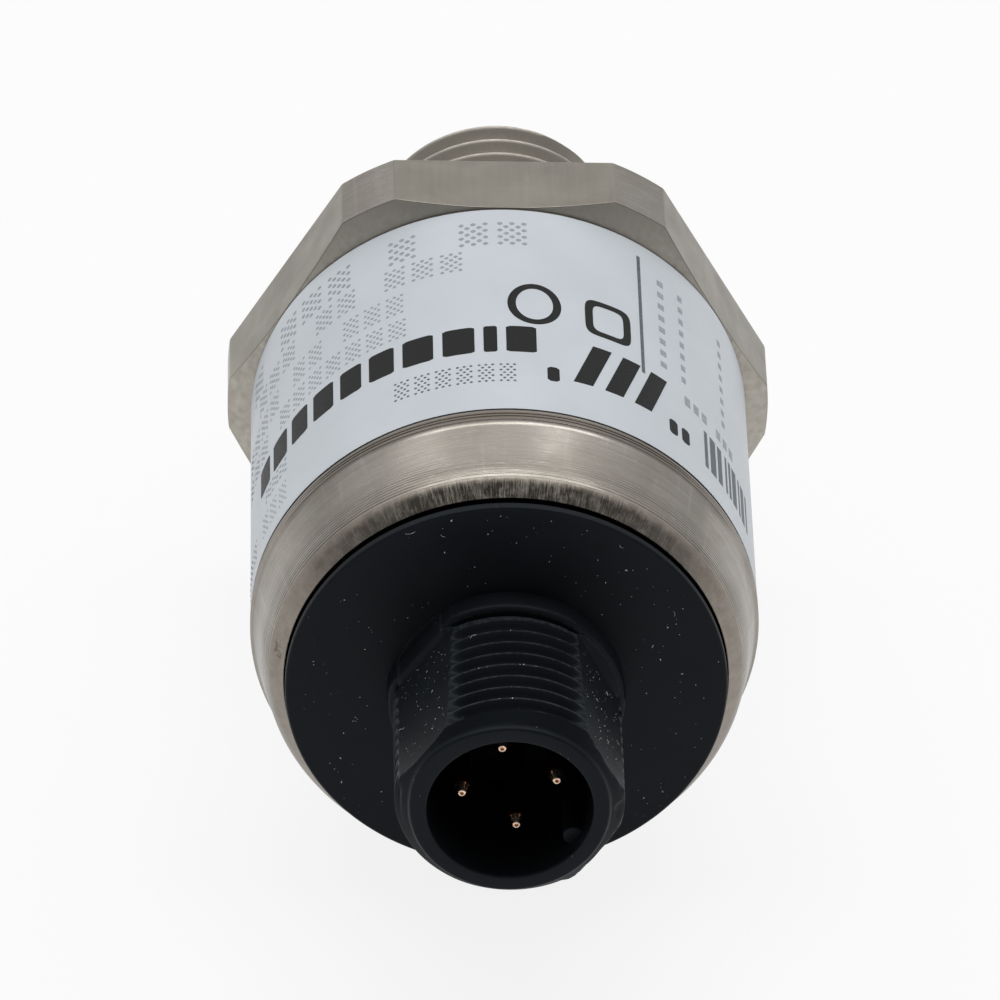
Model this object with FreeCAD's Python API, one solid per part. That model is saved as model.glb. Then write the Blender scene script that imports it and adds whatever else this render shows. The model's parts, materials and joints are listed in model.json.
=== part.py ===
# Pressure transmitter: a round stainless housing with a moulded M12 connector at one
# end, and a hexagon with a G1/4 A stud and an elastomer seal at the other.
#
# Frame, in millimetres: the axis lies along Y, with the stud towards +Y and the
# connector towards -Y.  The origin is on the axis in the sealing face of the collar.
# +Z is up, square to a flat of the hexagon, and the part lies on the opposite flat.

import FreeCAD, Part

import math
import os

# ---------------------------------------------------------------- driving dimensions

# Process fitting: stud, collar and hexagon
thread_major_diameter = 13.157      # G1/4 A
thread_pitch = 1.337
thread_depth = 0.856
thread_length = 12.0                # sealing face to the end of the stud
thread_end_chamfer = 0.9
thread_relief_diameter = 11.2
thread_relief_length = 2.0
pressure_bore_diameter = 5.0
bore_mouth_chamfer = 0.4
collar_diameter = 18.9
collar_height = 3.0
seal_recess_diameter = 16.6
seal_recess_depth = 1.4
hexagon_across_flats = 27.0
hexagon_corner_cut = 0.84           # how far the sharp corners are turned down
hexagon_thickness = 4.6
hexagon_chamfer_angle = 30.0        # on the connector side
chamber_floor_thickness = 2.0       # steel between measuring cell and collar side

# Port seal: an elastomer profile ring
port_seal_neck_gap = 0.2            # round the neck of the stud
port_seal_thickness = 1.5
port_seal_edge_bevel = 0.3

# Housing sleeve, turned flush with the flats of the hexagon
sleeve_wall = 1.0
label_recess_depth = 0.08
sleeve_land_length = 0.65           # plain band between label recess and shoulder
land_edge_chamfer = 0.15
taper_length = 3.2                  # turned cone from the land to the knee
taper_drop = 0.65
knee_radius = 5.0
lip_roll_length = 1.75              # steeper cone from the knee to the lip, rolled in
lip_width = 0.38                    # steel between connector disc and lip edge
shoulder_step = 0.78                # how far the bore narrows to hold the flange
shoulder_bore_length = 5.45         # lip to the step that holds the connector flange

# Rating label
label_thickness = 0.06
label_end_gap = 2.0                 # opening where the two ends of the label meet
label_side_gap = 0.15               # to the hexagon
label_land_gap = 0.3                # to the land of the sleeve

# Connector: one moulding
disc_proud = 0.45                   # how far the disc stands out of the lip
disc_edge_bevel = 0.3
flange_thickness = 2.2
rear_boss_diameter = 12.6
rear_boss_height = 2.0
m12_thread_diameter = 12.0
m12_thread_pitch = 1.0
m12_thread_depth = 0.54
m12_nose_step = 0.82                # nose below the crests of the thread
m12_nose_length = 0.75
m12_height = 10.7                   # rim to the face of the disc
m12_runout_groove_length = 0.45
m12_runout_groove_depth = 0.65
m12_base_collar_step = 0.3          # collar above the crests of the thread
m12_base_collar_height = 1.35
m12_moulded_flat_depth = 0.4        # each flat below the crests of the thread
moulded_flat_angle = -35.0          # from +X towards +Z, as seen from the connector end
socket_diameter = 8.66
socket_depth = 8.6
rim_bevel = 0.15
key_width = 1.1
key_height = 0.75
key_setback = 1.0                   # rim to the front end of the key

# Contact pins
contact_count = 4
contact_diameter = 1.0
contact_circle_diameter = 5.0
contact_first_angle = 10.0
contact_setback = 2.0               # rim to the tips
contact_tail = 0.7                  # past the connector board

# O-ring between connector and sleeve
flange_ring_section = 1.4
flange_ring_setback = 3.2           # disc face to the middle of the ring

# Ceramic measuring cell and its clamping
cell_diameter = 18.0
cell_body_thickness = 6.0
cell_diaphragm_thickness = 0.35
cell_gap_diameter = 11.0
cell_gap_depth = 0.1
cell_seal_section = 1.5
cell_seal_gap = 0.6                 # to the support ring
cell_support_thickness = 0.3
cell_support_width = 1.2
clamp_ring_step = 1.4               # ring beyond the edge of the cell
clamp_ring_bore = 14.0
clamp_ring_thickness = 2.5
spanner_hole_diameter = 1.4
spanner_hole_depth = 1.5

# Boards and what they carry
board_thickness = 1.0
cell_board_gap = 0.8                # to the bore of the clamp ring
cell_board_thickness = 0.8
main_board_gap = 0.3                # to the bore of the sleeve
connector_board_gap = 0.6           # to the liner
board_spacing = 6.85                # free height between the two large boards
cell_pin_count = 4
cell_pin_diameter = 0.6
cell_pin_circle_diameter = 9.0
cell_pin_socket_depth = 0.5
cell_pin_tail = 0.4
signal_chip_size = 5.0
signal_chip_height = 0.6
output_chip_length = 6.0
output_chip_width = 4.0
output_chip_height = 1.2
output_chip_gap = 2.6               # to the liner
capacitor_diameter = 4.0
capacitor_height = 4.4
capacitor_gap = 2.2                 # to the liner
link_header_length = 9.0
link_header_width = 2.4
link_header_height = 2.5
link_header_gap = 3.0               # to the liner
link_pin_count = 4
link_pin_diameter = 0.5
link_pin_pitch = 2.0
link_pin_tail = 0.4
link_pin_setback = 0.4              # inside the main board, clear of the clamp ring

# Insulating liner between boards and sleeve
liner_wall = 0.6

# Clearances
slip_clearance = 0.05               # radial, one turned or moulded part in another
pin_clearance = 0.02                # radial, a pin where it is moulded in
hole_clearance = 0.08               # radial, a pin through a board

# ---------------------------------------------------------------- planes along the axis

stud_end_y = thread_length
hexagon_back_y = -collar_height
hexagon_front_y = hexagon_back_y - hexagon_thickness
chamber_floor_y = hexagon_back_y - chamber_floor_thickness
diaphragm_y = chamber_floor_y - cell_support_thickness
cell_body_y = diaphragm_y - cell_diaphragm_thickness
cell_rear_y = cell_body_y - cell_body_thickness
cell_board_top_y = cell_rear_y - cell_board_thickness
spigot_end_y = cell_rear_y - clamp_ring_thickness
main_board_top_y = spigot_end_y - board_thickness
connector_board_y = main_board_top_y - board_spacing
rear_boss_y = connector_board_y - board_thickness
flange_rear_y = rear_boss_y - rear_boss_height
flange_front_y = flange_rear_y - flange_thickness
lip_y = flange_front_y - shoulder_bore_length
disc_face_y = lip_y - disc_proud
rim_y = disc_face_y - m12_height
knee_y = lip_y + lip_roll_length
taper_end_y = knee_y + taper_length
land_start_y = taper_end_y + land_edge_chamfer
land_end_y = land_start_y + sleeve_land_length

# ---------------------------------------------------------------- radii shared by parts

sleeve_radius = hexagon_across_flats / 2
sleeve_bore_radius = sleeve_radius - sleeve_wall
label_seat_radius = sleeve_radius - label_recess_depth
shoulder_bore_radius = sleeve_bore_radius - shoulder_step
disc_radius = shoulder_bore_radius - slip_clearance
thread_radius = thread_major_diameter / 2
neck_radius = thread_relief_diameter / 2
seal_recess_radius = seal_recess_diameter / 2
cell_pocket_radius = cell_diameter / 2 + slip_clearance
cell_support_inner_radius = cell_diameter / 2 - cell_support_width
cell_seal_radius = cell_support_inner_radius - cell_seal_gap - cell_seal_section / 2
clamp_ring_radius = cell_diameter / 2 + clamp_ring_step
clamp_pocket_radius = clamp_ring_radius + slip_clearance
liner_radius = sleeve_bore_radius - slip_clearance
liner_bore_radius = liner_radius - liner_wall


# ---------------------------------------------------------------- shape helpers

def ridged(start_y, end_y, pitch, crest_radius, depth):
    """(y, radius) corners of a thread, drawn as plain ridges at its pitch."""
    crest_width = pitch / 8
    count = math.ceil((end_y - start_y) / pitch)
    corners = []
    for ridge_y in [start_y + pitch * i for i in range(count)]:
        corners.append((ridge_y, crest_radius))
        corners.append((ridge_y + crest_width, crest_radius))
        corners.append((ridge_y + (pitch + crest_width) / 2, crest_radius - depth))
    return corners[:-2] + [(end_y, crest_radius)]


def turned(corners):
    """Solid turned round the Y axis from its (y, radius) corners."""
    points = [FreeCAD.Vector(radius, y, 0) for y, radius in corners]
    face = Part.Face(Part.makePolygon(points + points[:1]))
    return face.revolve(FreeCAD.Vector(0, 0, 0), FreeCAD.Vector(0, 1, 0), 360)


def rod(radius, low_y, high_y, x=0.0, z=0.0):
    """Round bar along Y between two planes."""
    return Part.makeCylinder(radius, high_y - low_y, FreeCAD.Vector(x, low_y, z),
                             FreeCAD.Vector(0, 1, 0))


def tube(inner_radius, outer_radius, low_y, high_y):
    """Round sleeve along Y between two planes."""
    return rod(outer_radius, low_y, high_y).cut(rod(inner_radius, low_y, high_y))


def block(x_size, z_size, low_y, high_y, x=0.0, z=0.0):
    """Box along Y between two planes, centred on (x, z)."""
    corner = FreeCAD.Vector(x - x_size / 2, low_y, z - z_size / 2)
    return Part.makeBox(x_size, high_y - low_y, z_size, corner)


def o_ring(middle_radius, section, y):
    """O-ring round the Y axis, its round section pressed to eight flats by its groove."""
    reach = section / 2
    corner = reach / math.cos(math.pi / 8)
    angles = [math.pi / 8 + math.pi / 4 * i for i in range(8)]
    return turned([(y + corner * math.sin(a), middle_radius + corner * math.cos(a))
                   for a in angles])


def circle_points(count, diameter, first_angle):
    """(x, z) of points spread evenly on a circle."""
    radius = diameter / 2
    angles = [math.radians(first_angle + 360.0 * i / count) for i in range(count)]
    return [(radius * math.cos(a), radius * math.sin(a)) for a in angles]


def turned_about_axis(shape, angle):
    """The shape swung round the Y axis, from +X towards +Z."""
    swung = shape.copy()
    swung.rotate(FreeCAD.Vector(0, 0, 0), FreeCAD.Vector(0, -1, 0), angle)
    return swung


def rim_edges(shape, radius, y):
    """Circular edges of the shape with this radius in this plane."""
    return [edge for edge in shape.Edges
            if isinstance(edge.Curve, Part.Circle)
            and abs(edge.Curve.Radius - radius) < 1e-6
            and abs(edge.Curve.Center.y - y) < 1e-6]


# ---------------------------------------------------------------- positions on the boards

contact_places = circle_points(contact_count, contact_circle_diameter, contact_first_angle)
cell_pin_places = circle_points(cell_pin_count, cell_pin_circle_diameter, 45.0)
capacitor_offset = liner_bore_radius - capacitor_gap - capacitor_diameter / 2
capacitor_places = [(0.0, capacitor_offset), (0.0, -capacitor_offset)]
link_header_offset = liner_bore_radius - link_header_gap - link_header_width / 2
output_chip_offset = liner_bore_radius - output_chip_gap - output_chip_width / 2
link_pin_places = [(link_header_offset, link_pin_pitch * (i - (link_pin_count - 1) / 2))
                   for i in range(link_pin_count)]


# ---------------------------------------------------------------- process side

def hexagon():
    """Hexagon with corners turned down, chamfered on the connector side."""
    across_corners = hexagon_across_flats / math.cos(math.radians(30))
    points = [FreeCAD.Vector(x, hexagon_front_y, z)
              for x, z in circle_points(6, across_corners, 0.0)]
    face = Part.Face(Part.makePolygon(points + points[:1]))
    prism = face.extrude(FreeCAD.Vector(0, hexagon_thickness, 0))
    turned_radius = across_corners / 2 - hexagon_corner_cut
    face_radius = hexagon_across_flats / 2
    chamfer = (turned_radius - face_radius) * math.tan(math.radians(hexagon_chamfer_angle))
    envelope = turned([
        (hexagon_front_y, 0),
        (hexagon_front_y, face_radius),
        (hexagon_front_y + chamfer, turned_radius),
        (hexagon_back_y, turned_radius),
        (hexagon_back_y, 0),
    ])
    return prism.common(envelope)


def process_fitting():
    """One turned and milled piece: spigot, hexagon, collar and stud, bored through."""
    collar_radius = collar_diameter / 2
    spigot_radius = sleeve_bore_radius - slip_clearance
    relief_slope = thread_radius - neck_radius
    body = turned([
        (spigot_end_y, 0),
        (spigot_end_y, spigot_radius),
        (hexagon_front_y, spigot_radius),
        (hexagon_back_y, spigot_radius),
        (hexagon_back_y, collar_radius),
        (0, collar_radius),
        (0, seal_recess_radius),
        (-seal_recess_depth, seal_recess_radius),
        (-seal_recess_depth, neck_radius),
        (thread_relief_length, neck_radius),
        *ridged(thread_relief_length + relief_slope, stud_end_y - thread_end_chamfer,
                thread_pitch, thread_radius, thread_depth),
        (stud_end_y, thread_radius - thread_end_chamfer),
        (stud_end_y, 0),
    ])
    bore_radius = pressure_bore_diameter / 2
    pocket = turned([
        (spigot_end_y, 0),
        (spigot_end_y, clamp_pocket_radius),
        (cell_rear_y, clamp_pocket_radius),
        (cell_rear_y, cell_pocket_radius),
        (chamber_floor_y, cell_pocket_radius),
        (chamber_floor_y, bore_radius),
        (stud_end_y - bore_mouth_chamfer, bore_radius),
        (stud_end_y, bore_radius + bore_mouth_chamfer),
        (stud_end_y, 0),
    ])
    groove_half_width = cell_seal_section / 2 + slip_clearance
    groove_depth = cell_seal_section - cell_support_thickness
    seal_groove = tube(cell_seal_radius - groove_half_width,
                       cell_seal_radius + groove_half_width,
                       chamber_floor_y, chamber_floor_y + groove_depth)
    return body.fuse(hexagon()).cut(pocket).cut(seal_groove).removeSplitter()


def port_seal_ring():
    """Elastomer profile ring in the recess of the collar, a little proud of its face."""
    inner = neck_radius + port_seal_neck_gap
    outer = seal_recess_radius - slip_clearance
    seat_y = -seal_recess_depth
    front_y = seat_y + port_seal_thickness
    bevel = port_seal_edge_bevel
    return turned([
        (seat_y, inner),
        (seat_y, outer),
        (front_y - bevel, outer),
        (front_y, outer - bevel),
        (front_y, inner + bevel),
        (front_y - bevel, inner),
    ])


# ---------------------------------------------------------------- measuring cell

def cell_seal_ring():
    """O-ring under the rim of the cell, in its groove in the chamber floor."""
    middle_y = diaphragm_y + cell_seal_section / 2
    return o_ring(cell_seal_radius, cell_seal_section, middle_y)


def cell_support_ring():
    """Thin plastic ring that the rim of the cell seats on."""
    return tube(cell_support_inner_radius, cell_diameter / 2, diaphragm_y, chamber_floor_y)


def cell_diaphragm():
    """Thin ceramic disc that the pressure bends."""
    return rod(cell_diameter / 2, cell_body_y, diaphragm_y)


def cell_body():
    """Thick ceramic disc behind the diaphragm, hollowed a little for its travel."""
    disc = rod(cell_diameter / 2, cell_rear_y, cell_body_y)
    travel = rod(cell_gap_diameter / 2, cell_body_y - cell_gap_depth, cell_body_y)
    disc = disc.cut(travel)
    for x, z in cell_pin_places:
        socket_y = cell_rear_y + cell_pin_socket_depth
        disc = disc.cut(rod(cell_pin_diameter / 2 + pin_clearance, cell_rear_y, socket_y, x, z))
    return disc


def cell_clamp_ring():
    """Ring screwed in behind the cell, with two blind holes for a pin spanner."""
    ring = tube(clamp_ring_bore / 2, clamp_ring_radius, spigot_end_y, cell_rear_y)
    middle_diameter = clamp_ring_bore / 2 + clamp_ring_radius
    for x, z in circle_points(2, middle_diameter, 0.0):
        hole = rod(spanner_hole_diameter / 2, spigot_end_y, spigot_end_y + spanner_hole_depth,
                   x, z)
        ring = ring.cut(hole)
    return ring


# ---------------------------------------------------------------- boards

def pierced(shape, places, radius):
    """The shape with round holes along Y at these places."""
    box = shape.BoundBox
    for x, z in places:
        shape = shape.cut(rod(radius, box.YMin, box.YMax, x, z))
    return shape


def cell_board():
    """Small round board on the back of the cell."""
    disc = rod(clamp_ring_bore / 2 - cell_board_gap, cell_board_top_y, cell_rear_y)
    return pierced(disc, cell_pin_places, cell_pin_diameter / 2 + hole_clearance)


def signal_chip():
    """Signal converter on the cell board."""
    top_y = cell_board_top_y - signal_chip_height
    return block(signal_chip_size, signal_chip_size, top_y, cell_board_top_y)


def main_board():
    """Round board that rests on the spigot and is held down by the liner."""
    disc = rod(sleeve_bore_radius - main_board_gap, main_board_top_y, spigot_end_y)
    disc = pierced(disc, cell_pin_places, cell_pin_diameter / 2 + hole_clearance)
    return pierced(disc, link_pin_places, link_pin_diameter / 2 + hole_clearance)


def output_chip():
    """Output stage on the main board."""
    top_y = main_board_top_y - output_chip_height
    return block(output_chip_width, output_chip_length, top_y, main_board_top_y,
                 x=-output_chip_offset)


def connector_board():
    """Round board soldered to the tails of the contact pins."""
    disc = rod(liner_bore_radius - connector_board_gap, rear_boss_y, connector_board_y)
    disc = pierced(disc, contact_places, contact_diameter / 2 + hole_clearance)
    return pierced(disc, link_pin_places, link_pin_diameter / 2 + hole_clearance)


def link_header():
    """Insulating block that holds the pins between the two large boards."""
    top_y = main_board_top_y - link_header_height
    bar = block(link_header_width, link_header_length, top_y, main_board_top_y,
                x=link_header_offset)
    return pierced(bar, link_pin_places, link_pin_diameter / 2 + pin_clearance)


def insulating_liner():
    """Plastic tube between the boards and the sleeve."""
    return tube(liner_bore_radius, liner_radius, flange_rear_y, main_board_top_y)


# ---------------------------------------------------------------- housing

def housing_sleeve():
    """Steel sleeve: label recess, land, tapered shoulder and a rolled lip."""
    lip_radius = shoulder_bore_radius + lip_width
    taper_radius = sleeve_radius - land_edge_chamfer
    sleeve = turned([
        (lip_y, shoulder_bore_radius),
        (lip_y, lip_radius),
        (knee_y, taper_radius - taper_drop),
        (taper_end_y, taper_radius),
        (land_start_y, sleeve_radius),
        (land_end_y, sleeve_radius),
        (land_end_y, label_seat_radius),
        (hexagon_front_y, label_seat_radius),
        (hexagon_front_y, sleeve_bore_radius),
        (flange_front_y, sleeve_bore_radius),
        (flange_front_y, shoulder_bore_radius),
    ])
    return sleeve.makeFillet(knee_radius, rim_edges(sleeve, taper_radius - taper_drop, knee_y))


def rating_label():
    """Film label wrapped round the sleeve, its two ends a little apart underneath."""
    outer = label_seat_radius + label_thickness
    film = tube(label_seat_radius, outer, land_end_y + label_land_gap,
                hexagon_front_y - label_side_gap)
    box = film.BoundBox
    slot = block(label_end_gap, sleeve_radius, box.YMin, box.YMax, z=-sleeve_radius)
    return film.cut(slot)


# ---------------------------------------------------------------- connector

def connector_housing():
    """M12 connector, disc and flange in one moulding, with the socket and its key."""
    crest_radius = m12_thread_diameter / 2
    nose_radius = crest_radius - m12_nose_step
    groove_radius = crest_radius - m12_runout_groove_depth
    collar_radius = crest_radius + m12_base_collar_step
    flat_radius = crest_radius - m12_moulded_flat_depth
    collar_y = disc_face_y - m12_base_collar_height
    groove_y = collar_y - m12_runout_groove_length
    nose_y = rim_y + m12_nose_length
    ring_y = disc_face_y + flange_ring_setback
    ring_half = flange_ring_section / 2 + slip_clearance
    ring_seat_radius = shoulder_bore_radius - flange_ring_section
    flange_radius = sleeve_bore_radius - slip_clearance
    body = turned([
        (rim_y, 0),
        (rim_y, nose_radius - rim_bevel),
        (rim_y + rim_bevel, nose_radius),
        (nose_y, nose_radius),
        *ridged(nose_y + m12_nose_step, groove_y, m12_thread_pitch, crest_radius,
                m12_thread_depth),
        (groove_y, groove_radius),
        (collar_y, groove_radius),
        (collar_y, collar_radius),
        (disc_face_y, collar_radius),
        (disc_face_y, disc_radius - disc_edge_bevel),
        (disc_face_y + disc_edge_bevel, disc_radius),
        (ring_y - ring_half, disc_radius),
        (ring_y - ring_half, ring_seat_radius),
        (ring_y + ring_half, ring_seat_radius),
        (ring_y + ring_half, disc_radius),
        (flange_front_y, disc_radius),
        (flange_front_y, flange_radius),
        (flange_rear_y, flange_radius),
        (flange_rear_y, rear_boss_diameter / 2),
        (rear_boss_y, rear_boss_diameter / 2),
        (rear_boss_y, 0),
    ])

    # Two opposite flats across the thread and its base collar
    for side in (0.0, 180.0):
        waste = block(collar_radius, 2 * collar_radius, rim_y, disc_face_y,
                      x=flat_radius + collar_radius / 2)
        body = body.cut(turned_about_axis(waste, moulded_flat_angle + side))

    # Socket, with the coding key standing in from its wall
    socket_radius = socket_diameter / 2
    socket_floor_y = rim_y + socket_depth
    socket = rod(socket_radius, rim_y, socket_floor_y)
    key_tip = socket_radius - key_height + key_width / 2
    key = rod(key_width / 2, rim_y + key_setback, socket_floor_y, x=key_tip)
    key_root = block(key_height, key_width, rim_y + key_setback, socket_floor_y,
                     x=key_tip + key_height / 2)
    key = turned_about_axis(key.fuse(key_root), moulded_flat_angle)
    body = body.cut(socket.cut(key))
    return pierced_between(body, contact_places, contact_diameter / 2 + pin_clearance,
                           socket_floor_y, rear_boss_y)


def pierced_between(shape, places, radius, low_y, high_y):
    """The shape with round holes along Y between two planes."""
    for x, z in places:
        shape = shape.cut(rod(radius, low_y, high_y, x, z))
    return shape


def contact_pin(x, z):
    """Contact with a domed tip in the socket and its tail through the board."""
    radius = contact_diameter / 2
    tip_y = rim_y + contact_setback
    shank = rod(radius, tip_y + radius, connector_board_y + contact_tail, x, z)
    tip = Part.makeSphere(radius, FreeCAD.Vector(x, tip_y + radius, z))
    return shank.fuse(tip).removeSplitter()


def flange_o_ring():
    """O-ring between the connector disc and the bore of the shoulder."""
    middle_radius = shoulder_bore_radius - flange_ring_section / 2
    return o_ring(middle_radius, flange_ring_section, disc_face_y + flange_ring_setback)


# ---------------------------------------------------------------- build and write

parts = {
    "process_fitting": process_fitting(),
    "port_seal_ring": port_seal_ring(),
    "cell_seal_ring": cell_seal_ring(),
    "cell_support_ring": cell_support_ring(),
    "cell_diaphragm": cell_diaphragm(),
    "cell_body": cell_body(),
    "cell_clamp_ring": cell_clamp_ring(),
    "cell_board": cell_board(),
    "signal_chip": signal_chip(),
    "main_board": main_board(),
    "output_chip": output_chip(),
    "connector_board": connector_board(),
    "link_header": link_header(),
    "insulating_liner": insulating_liner(),
    "housing_sleeve": housing_sleeve(),
    "rating_label": rating_label(),
    "connector_housing": connector_housing(),
    "flange_o_ring": flange_o_ring(),
}
for number, (x, z) in enumerate(contact_places, start=1):
    parts[f"contact_pin_{number}"] = contact_pin(x, z)
for number, (x, z) in enumerate(cell_pin_places, start=1):
    parts[f"cell_pin_{number}"] = rod(cell_pin_diameter / 2, main_board_top_y - cell_pin_tail,
                                      cell_rear_y + cell_pin_socket_depth, x, z)
for number, (x, z) in enumerate(capacitor_places, start=1):
    parts[f"capacitor_{number}"] = rod(capacitor_diameter / 2,
                                       main_board_top_y - capacitor_height,
                                       main_board_top_y, x, z)
for number, (x, z) in enumerate(link_pin_places, start=1):
    parts[f"link_pin_{number}"] = rod(link_pin_diameter / 2, rear_boss_y - link_pin_tail,
                                      spigot_end_y - link_pin_setback, x, z)

os.makedirs("parts", exist_ok=True)
for name, shape in parts.items():
    shape.exportStep(os.path.join("parts", name + ".step"))
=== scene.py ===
import json
import math
import random

import bmesh
import bpy
import numpy as np
from mathutils import Matrix, Vector


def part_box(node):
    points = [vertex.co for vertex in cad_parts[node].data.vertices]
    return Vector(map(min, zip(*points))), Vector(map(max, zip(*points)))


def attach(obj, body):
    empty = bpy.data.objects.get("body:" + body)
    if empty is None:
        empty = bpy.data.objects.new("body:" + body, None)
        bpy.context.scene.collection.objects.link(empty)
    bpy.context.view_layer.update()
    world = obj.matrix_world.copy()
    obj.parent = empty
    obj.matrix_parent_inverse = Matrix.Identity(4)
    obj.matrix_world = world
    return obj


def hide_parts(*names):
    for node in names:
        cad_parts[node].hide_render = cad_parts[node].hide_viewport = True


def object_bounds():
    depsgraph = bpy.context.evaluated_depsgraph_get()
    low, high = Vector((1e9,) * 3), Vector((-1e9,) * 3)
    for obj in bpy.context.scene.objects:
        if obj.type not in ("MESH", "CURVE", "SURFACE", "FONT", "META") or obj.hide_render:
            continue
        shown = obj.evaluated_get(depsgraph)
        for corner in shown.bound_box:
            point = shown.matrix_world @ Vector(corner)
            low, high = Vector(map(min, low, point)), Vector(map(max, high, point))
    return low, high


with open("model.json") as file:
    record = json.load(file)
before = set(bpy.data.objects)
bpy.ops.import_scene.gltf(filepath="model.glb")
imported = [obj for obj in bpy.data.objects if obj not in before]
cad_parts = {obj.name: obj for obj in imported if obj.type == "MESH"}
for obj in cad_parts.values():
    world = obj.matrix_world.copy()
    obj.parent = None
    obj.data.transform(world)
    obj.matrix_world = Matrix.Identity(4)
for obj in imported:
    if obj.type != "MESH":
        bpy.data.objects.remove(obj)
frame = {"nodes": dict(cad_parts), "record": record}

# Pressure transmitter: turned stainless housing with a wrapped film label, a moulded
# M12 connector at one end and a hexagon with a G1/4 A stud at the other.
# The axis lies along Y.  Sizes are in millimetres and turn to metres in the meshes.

cad_box = [list(corner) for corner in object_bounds()]
MM = 0.001
slip_clearance = 0.05


# ---------------------------------------------------------------- sizes from the frame

def span(node):
    """Lowest y, highest y and outer radius of a node, in mm."""
    low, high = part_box(node)
    return low.y / MM, high.y / MM, high.x / MM


sleeve_front, hexagon_front, sleeve_radius = span("housing_sleeve")
label_front, label_back, label_radius = span("rating_label")
rim, connector_rear, flange_radius = span("connector_housing")
spigot_end, stud_end, hexagon_corner_radius = span("process_fitting")
corner_clearance = 0.004
hexagon_corner_radius -= corner_clearance
cell_rear, _, cell_radius = span("cell_body")
_, _, clamp_radius = span("cell_clamp_ring")
seal_seat, seal_front, seal_radius = span("port_seal_ring")
pin_tips, pin_tails, _ = span("contact_pin_1")

# Housing sleeve, from the lip to the label
lip_edge = sleeve_front + 0.32
lip_radius = 11.78
knee = sleeve_front + 1.27
knee_radius = 12.60
knee_rounding = 2.8
taper_end = sleeve_front + 4.95
taper_radius = 13.35
land_start = taper_end + 0.15
land_end = land_start + 0.65
land_grooves = (0.17, 0.40)
land_groove_width = 0.09
land_groove_side = 0.02
land_groove_depth = 0.035
mark_place = sleeve_front + 0.8
mark_angle = math.radians(173.0)
turning_pitch = 0.17
turning_depth = 0.010
turned_band = (-0.15, 0.1, 0.9, 1.6)
fine_rows = (knee - 0.28, knee + 1.7)
row_spacing = 0.02
label_recess = 0.08
label_seat_radius = sleeve_radius - label_recess
shoulder_bore_radius = 11.72
flange_step = sleeve_front + 5.45

# Label: half of the opening between its ends, and how far the print stands on it
label_half_gap = 1.0
print_height = 0.008
print_sink = 0.002

# Connector moulding
disc_face = sleeve_front - 0.45
disc_radius = shoulder_bore_radius - slip_clearance
disc_edge = disc_face + 0.45
undercut_front = disc_face + 0.80
undercut_rear = flange_step - 3.60
undercut_radius = disc_radius - 0.30
ring_land_front = flange_step - 3.40
ring_groove_front = flange_step - 2.95
ring_groove_rear = flange_step - 1.45
ring_groove_radius = disc_radius - 1.35
flange_rear = flange_step + 2.2
boss_radius = 6.0
crest_radius = 6.0
thread_pitch = 1.0
thread_depth = 0.5413 * thread_pitch
nose_radius = 5.18
thread_front = rim + 0.30
thread_root_front = 5.30
first_flank = 1.5
thread_origin = rim - 0.10
last_crest = 9.0
groove_radius = 5.5
groove_side = 0.12
collar_radius = 6.3
collar_front = disc_face - 1.35
groove_front = collar_front - 0.45
moulded_flat = 5.50
flat_lean = 0.025
flat_lean_start = 5.0
flat_runout = math.radians(12.0)
flat_runout_inside = 0.4
rim_swell = 0.2
rim_swell_reach = 0.45
key_angle = math.radians(-35.0)
flat_angles = (key_angle, key_angle + math.pi, math.radians(28.5))
collar_flat = 5.7
collar_side_radius = 6.2
collar_side_start = 0.42
collar_side_blend = 0.10
socket_radius = 4.33
socket_floor = rim + 8.6
key_half_width = 0.55
key_height = 0.75
key_front = rim + 1.0
pin_radius = 0.5
pin_tip_radius = 0.20
pin_cone = 0.50
centre_mark_radius = 0.05
centre_mark_rim = 0.10
pin_circle_radius = 2.5
first_pin_angle = 10.0
pin_count = 4

# Process fitting
hexagon_sides = 6
hexagon_chamfer = math.radians(30.0)
hexagon_back = -3.0
chamber_floor = -5.0
collar_outer = 9.45
seal_recess_radius = 8.3
seal_recess = -1.4
neck_radius = 5.6
neck_end = 2.0
seal_neck_gap = 0.2
stud_radius = 13.157 / 2
stud_pitch = 1.337
stud_depth = 0.856
stud_chamfer = 0.9
bore_radius = 2.5
bore_chamfer = 0.4


# ---------------------------------------------------------------- mesh helpers

def rounded(corners, radii, steps=4):
    """Profile with its corners rounded off.

    corners is (columns, n, 2) or (n, 2) with (y, radius); radii has one rounding for
    each corner.  Returns the points and, for each point, the corner that it belongs to.
    """
    corners = np.atleast_3d(np.asarray(corners, float))
    if corners.shape[2] == 1:
        corners = corners.transpose(2, 0, 1)
    points, owner = [], []
    for k, radius in enumerate(radii):
        corner = corners[:, k]
        if radius == 0 or k in (0, len(radii) - 1):
            points.append(corner)
            owner.append(k)
            continue
        before = corners[:, k - 1] - corner
        after = corners[:, k + 1] - corner
        length_before = np.linalg.norm(before, axis=1, keepdims=True) + 1e-12
        length_after = np.linalg.norm(after, axis=1, keepdims=True) + 1e-12
        before, after = before / length_before, after / length_after
        opening = np.arccos(np.clip((before * after).sum(1, keepdims=True), -1, 1))
        reach = radius / np.tan(np.maximum(opening, 1e-3) / 2)
        reach = np.minimum(reach, 0.45 * np.minimum(length_before, length_after))
        for u in np.linspace(0, 1, steps + 1):
            near = (1 - u) ** 2 * reach * before + u ** 2 * reach * after
            points.append(corner + near)
            owner.append(k)
    return np.stack(points, axis=1), owner


def turned_profile(corners, steps):
    """The same from (y, radius, rounding) corners, for a form that is the same all round."""
    return rounded([(y, radius) for y, radius, _ in corners],
                   [rounding for _, _, rounding in corners], steps)


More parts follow.
